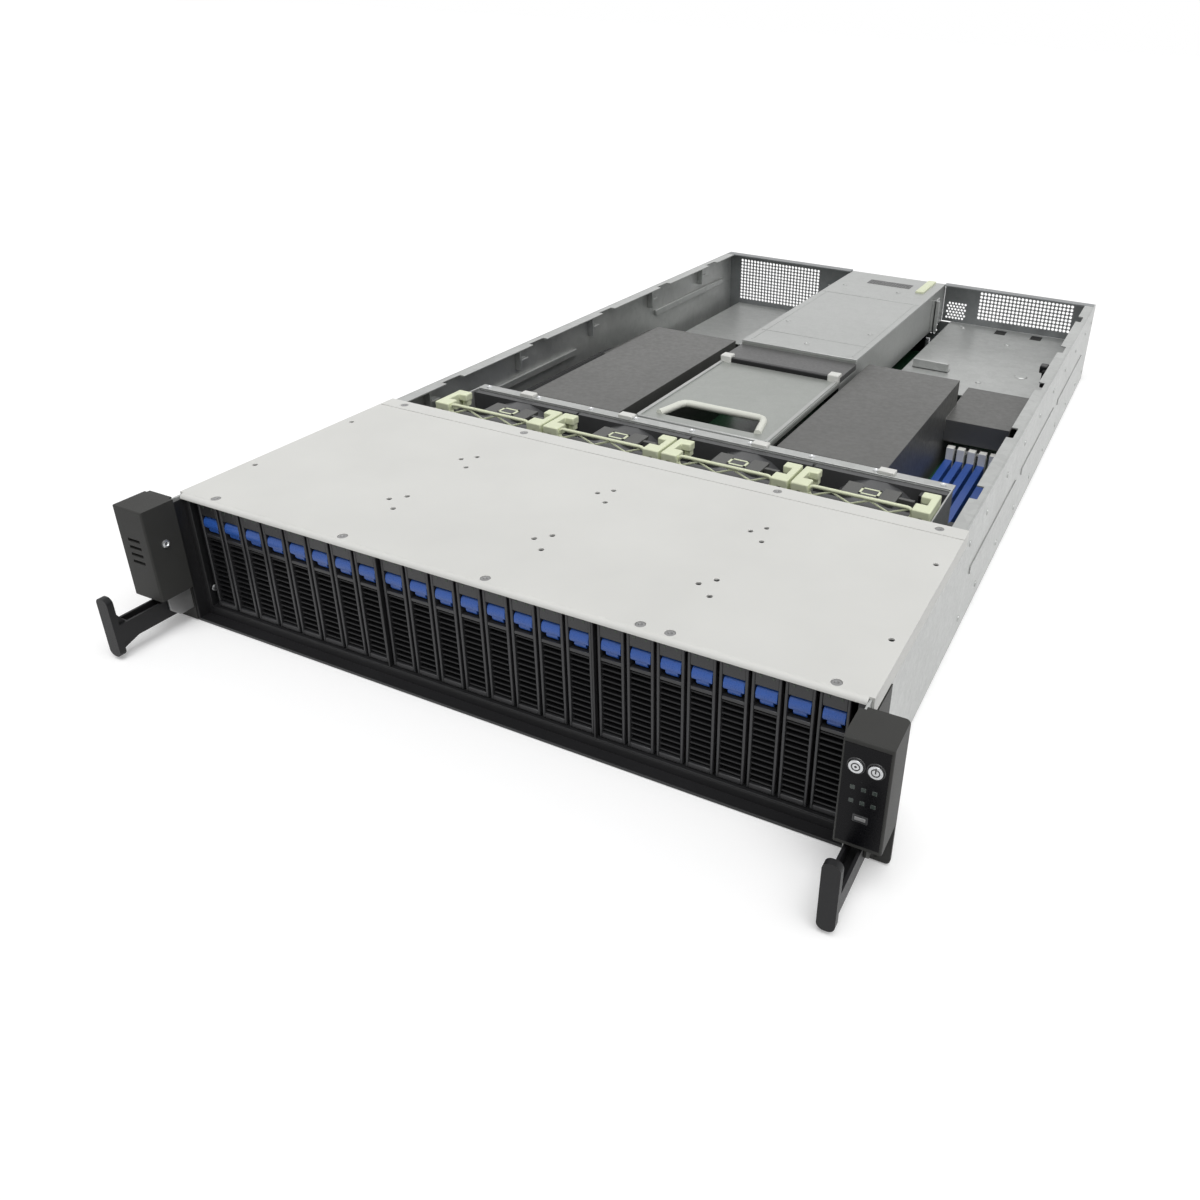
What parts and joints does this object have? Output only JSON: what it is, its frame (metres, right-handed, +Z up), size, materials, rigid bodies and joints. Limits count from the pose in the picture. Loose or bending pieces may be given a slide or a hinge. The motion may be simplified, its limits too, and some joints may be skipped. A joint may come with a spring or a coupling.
{
  "type": "2u rack server",
  "caption": "Two-unit rack server with its rear lid off: a row of hot-swap drives, lift-out fans, air ducts, riser and power supplies.",
  "frame": {"origin": "middle of the underside, in the plane where the rack ears meet the rack posts", "axes": "+X to the right seen from the front, +Y to the rear, +Z up"},
  "size_m": [0.4826, 0.872, 0.0875],
  "materials": {
    "black_plastic": "satin",
    "black_steel": "satin",
    "board": "satin",
    "button_silver": "satin",
    "cable_black": "matte",
    "cover_steel": "satin",
    "grey_plastic": "matte",
    "heatsink": "satin",
    "latch_blue": "gloss",
    "port_metal": "gloss",
    "psu_case": "satin",
    "socket_plastic": "gloss",
    "zinc_steel": "satin"
  },
  "bodies": {
    "chassis": {"chassis_base": "zinc_steel", "front_cover": "cover_steel", "rear_panel": "zinc_steel", "expansion_bay_cover": "zinc_steel", "right_ear": "black_plastic", "left_ear": "black_plastic", "drive_cage": "black_steel", "backplane": "board", "fan_tray": "zinc_steel", "motherboard": "board", "io_ports": "port_metal", "dimm_sockets": "socket_plastic", "heatsinks": "heatsink", "psu_cage": "zinc_steel", "cable_bundle": "cable_black"},
    "fan_1": {"fan_module_1": "grey_plastic"},
    "fan_1_rotor": {"fan_rotor_1": "black_plastic"},
    "fan_2": {"fan_module_2": "grey_plastic"},
    "fan_2_rotor": {"fan_rotor_2": "black_plastic"},
    "fan_3": {"fan_module_3": "grey_plastic"},
    "fan_3_rotor": {"fan_rotor_3": "black_plastic"},
    "fan_4": {"fan_module_4": "grey_plastic"},
    "fan_4_rotor": {"fan_rotor_4": "black_plastic"},
    "power_supply_1": {"psu_1": "psu_case"},
    "power_supply_1_latch": {"psu_latch_1": "latch_blue"},
    "power_supply_1_rotor": {"psu_fan_rotor_1": "black_plastic"},
    "power_supply_2": {"psu_2": "psu_case"},
    "power_supply_2_latch": {"psu_latch_2": "latch_blue"},
    "power_supply_2_rotor": {"psu_fan_rotor_2": "black_plastic"},
    "riser": {"riser_unit": "zinc_steel"},
    "duct_right": {"right_air_duct": "grey_plastic"},
    "duct_left": {"left_air_duct": "grey_plastic"},
    "lever_right": {"right_release_lever": "black_plastic"},
    "lever_left": {"left_release_lever": "black_plastic"},
    "button_power": {"power_button": "button_silver"},
    "button_id": {"id_button": "button_silver"},
    "drive_01": {"drive_carrier_01": "black_plastic"},
    "drive_02": {"drive_carrier_02": "black_plastic"},
    "drive_03": {"drive_carrier_03": "black_plastic"},
    "drive_04": {"drive_carrier_04": "black_plastic"},
    "drive_05": {"drive_carrier_05": "black_plastic"},
    "drive_06": {"drive_carrier_06": "black_plastic"},
    "drive_07": {"drive_carrier_07": "black_plastic"},
    "drive_08": {"drive_carrier_08": "black_plastic"},
    "drive_09": {"drive_carrier_09": "black_plastic"},
    "drive_10": {"drive_carrier_10": "black_plastic"},
    "drive_11": {"drive_carrier_11": "black_plastic"},
    "drive_12": {"drive_carrier_12": "black_plastic"},
    "drive_13": {"drive_carrier_13": "black_plastic"},
    "drive_14": {"drive_carrier_14": "black_plastic"},
    "drive_15": {"drive_carrier_15": "black_plastic"},
    "drive_16": {"drive_carrier_16": "black_plastic"},
    "drive_17": {"drive_carrier_17": "black_plastic"},
    "drive_18": {"drive_carrier_18": "black_plastic"},
    "drive_19": {"drive_carrier_19": "black_plastic"},
    "drive_20": {"drive_carrier_20": "black_plastic"},
    "drive_21": {"drive_carrier_21": "black_plastic"},
    "drive_22": {"drive_carrier_22": "black_plastic"},
    "drive_23": {"drive_carrier_23": "black_plastic"},
    "drive_24": {"drive_carrier_24": "black_plastic"}
  },
  "joints": [
    {"name": "riser_lift", "type": "slide", "parent": "chassis", "child": "riser", "axis": [0, 0, 1], "range_m": [0, 0.09]},
    {"name": "right_duct_lift", "type": "slide", "parent": "chassis", "child": "duct_right", "axis": [0, 0, 1], "range_m": [0, 0.09]},
    {"name": "left_duct_lift", "type": "slide", "parent": "chassis", "child": "duct_left", "axis": [0, 0, 1], "range_m": [0, 0.09]},
    {"name": "fan_1_lift", "type": "slide", "parent": "chassis", "child": "fan_1", "axis": [0, 0, 1], "range_m": [0, 0.095]},
    {"name": "fan_2_lift", "type": "slide", "parent": "chassis", "child": "fan_2", "axis": [0, 0, 1], "range_m": [0, 0.095]},
    {"name": "fan_3_lift", "type": "slide", "parent": "chassis", "child": "fan_3", "axis": [0, 0, 1], "range_m": [0, 0.095]},
    {"name": "fan_4_lift", "type": "slide", "parent": "chassis", "child": "fan_4", "axis": [0, 0, 1], "range_m": [0, 0.095]},
    {"name": "psu_1_slide", "type": "slide", "parent": "chassis", "child": "power_supply_1", "axis": [0, 1, 0], "range_m": [0, 0.15]},
    {"name": "psu_2_slide", "type": "slide", "parent": "chassis", "child": "power_supply_2", "axis": [0, 1, 0], "range_m": [0, 0.15]},
    {"name": "psu_1_latch", "type": "hinge", "parent": "power_supply_1", "child": "power_supply_1_latch", "pos_m": [0.1451, 0.8025, 0.0055], "axis": [0, 0, -1], "range_deg": [0, 14], "stiffness_Nm_per_rad": 0.05},
    {"name": "psu_2_latch", "type": "hinge", "parent": "power_supply_2", "child": "power_supply_2_latch", "pos_m": [0.0694, 0.8025, 0.0055], "axis": [0, 0, -1], "range_deg": [0, 14], "stiffness_Nm_per_rad": 0.05},
    {"name": "right_lever_push", "type": "slide", "parent": "chassis", "child": "lever_right", "axis": [0, 1, 0], "range_m": [0, 0.02]},
    {"name": "left_lever_push", "type": "slide", "parent": "chassis", "child": "lever_left", "axis": [0, 1, 0], "range_m": [0, 0.02]},
    {"name": "power_button_press", "type": "slide", "parent": "chassis", "child": "button_power", "axis": [0, 1, 0], "range_m": [0, 0.001], "stiffness_N_per_m": 200},
    {"name": "id_button_press", "type": "slide", "parent": "chassis", "child": "button_id", "axis": [0, 1, 0], "range_m": [0, 0.001], "stiffness_N_per_m": 200},
    {"name": "fan_1_spin", "type": "hinge", "parent": "fan_1", "child": "fan_1_rotor", "pos_m": [-0.14625, 0.234, 0.0407], "axis": [0, 1, 0], "continuous": true},
    {"name": "fan_2_spin", "type": "hinge", "parent": "fan_2", "child": "fan_2_rotor", "pos_m": [-0.04875, 0.234, 0.0407], "axis": [0, 1, 0], "continuous": true},
    {"name": "fan_3_spin", "type": "hinge", "parent": "fan_3", "child": "fan_3_rotor", "pos_m": [0.04875, 0.234, 0.0407], "axis": [0, 1, 0], "continuous": true},
    {"name": "fan_4_spin", "type": "hinge", "parent": "fan_4", "child": "fan_4_rotor", "pos_m": [0.14625, 0.234, 0.0407], "axis": [0, 1, 0], "continuous": true},
    {"name": "psu_1_fan_spin", "type": "hinge", "parent": "power_supply_1", "child": "power_supply_1_rotor", "pos_m": [0.1948, 0.79, 0.0215], "axis": [0, 1, 0], "continuous": true},
    {"name": "psu_2_fan_spin", "type": "hinge", "parent": "power_supply_2", "child": "power_supply_2_rotor", "pos_m": [0.1191, 0.79, 0.0215], "axis": [0, 1, 0], "continuous": true},
    {"name": "drive_01_slide", "type": "slide", "parent": "chassis", "child": "drive_01", "axis": [0, -1, 0], "range_m": [0, 0.11]},
    {"name": "drive_02_slide", "type": "slide", "parent": "chassis", "child": "drive_02", "axis": [0, -1, 0], "range_m": [0, 0.11]},
    {"name": "drive_03_slide", "type": "slide", "parent": "chassis", "child": "drive_03", "axis": [0, -1, 0], "range_m": [0, 0.11]},
    {"name": "drive_04_slide", "type": "slide", "parent": "chassis", "child": "drive_04", "axis": [0, -1, 0], "range_m": [0, 0.11]},
    {"name": "drive_05_slide", "type": "slide", "parent": "chassis", "child": "drive_05", "axis": [0, -1, 0], "range_m": [0, 0.11]},
    {"name": "drive_06_slide", "type": "slide", "parent": "chassis", "child": "drive_06", "axis": [0, -1, 0], "range_m": [0, 0.11]},
    {"name": "drive_07_slide", "type": "slide", "parent": "chassis", "child": "drive_07", "axis": [0, -1, 0], "range_m": [0, 0.11]},
    {"name": "drive_08_slide", "type": "slide", "parent": "chassis", "child": "drive_08", "axis": [0, -1, 0], "range_m": [0, 0.11]},
    {"name": "drive_09_slide", "type": "slide", "parent": "chassis", "child": "drive_09", "axis": [0, -1, 0], "range_m": [0, 0.11]},
    {"name": "drive_10_slide", "type": "slide", "parent": "chassis", "child": "drive_10", "axis": [0, -1, 0], "range_m": [0, 0.11]},
    {"name": "drive_11_slide", "type": "slide", "parent": "chassis", "child": "drive_11", "axis": [0, -1, 0], "range_m": [0, 0.11]},
    {"name": "drive_12_slide", "type": "slide", "parent": "chassis", "child": "drive_12", "axis": [0, -1, 0], "range_m": [0, 0.11]},
    {"name": "drive_13_slide", "type": "slide", "parent": "chassis", "child": "drive_13", "axis": [0, -1, 0], "range_m": [0, 0.11]},
    {"name": "drive_14_slide", "type": "slide", "parent": "chassis", "child": "drive_14", "axis": [0, -1, 0], "range_m": [0, 0.11]},
    {"name": "drive_15_slide", "type": "slide", "parent": "chassis", "child": "drive_15", "axis": [0, -1, 0], "range_m": [0, 0.11]},
    {"name": "drive_16_slide", "type": "slide", "parent": "chassis", "child": "drive_16", "axis": [0, -1, 0], "range_m": [0, 0.11]},
    {"name": "drive_17_slide", "type": "slide", "parent": "chassis", "child": "drive_17", "axis": [0, -1, 0], "range_m": [0, 0.11]},
    {"name": "drive_18_slide", "type": "slide", "parent": "chassis", "child": "drive_18", "axis": [0, -1, 0], "range_m": [0, 0.11]},
    {"name": "drive_19_slide", "type": "slide", "parent": "chassis", "child": "drive_19", "axis": [0, -1, 0], "range_m": [0, 0.11]},
    {"name": "drive_20_slide", "type": "slide", "parent": "chassis", "child": "drive_20", "axis": [0, -1, 0], "range_m": [0, 0.11]},
    {"name": "drive_21_slide", "type": "slide", "parent": "chassis", "child": "drive_21", "axis": [0, -1, 0], "range_m": [0, 0.11]},
    {"name": "drive_22_slide", "type": "slide", "parent": "chassis", "child": "drive_22", "axis": [0, -1, 0], "range_m": [0, 0.11]},
    {"name": "drive_23_slide", "type": "slide", "parent": "chassis", "child": "drive_23", "axis": [0, -1, 0], "range_m": [0, 0.11]},
    {"name": "drive_24_slide", "type": "slide", "parent": "chassis", "child": "drive_24", "axis": [0, -1, 0], "range_m": [0, 0.11]}
  ]
}
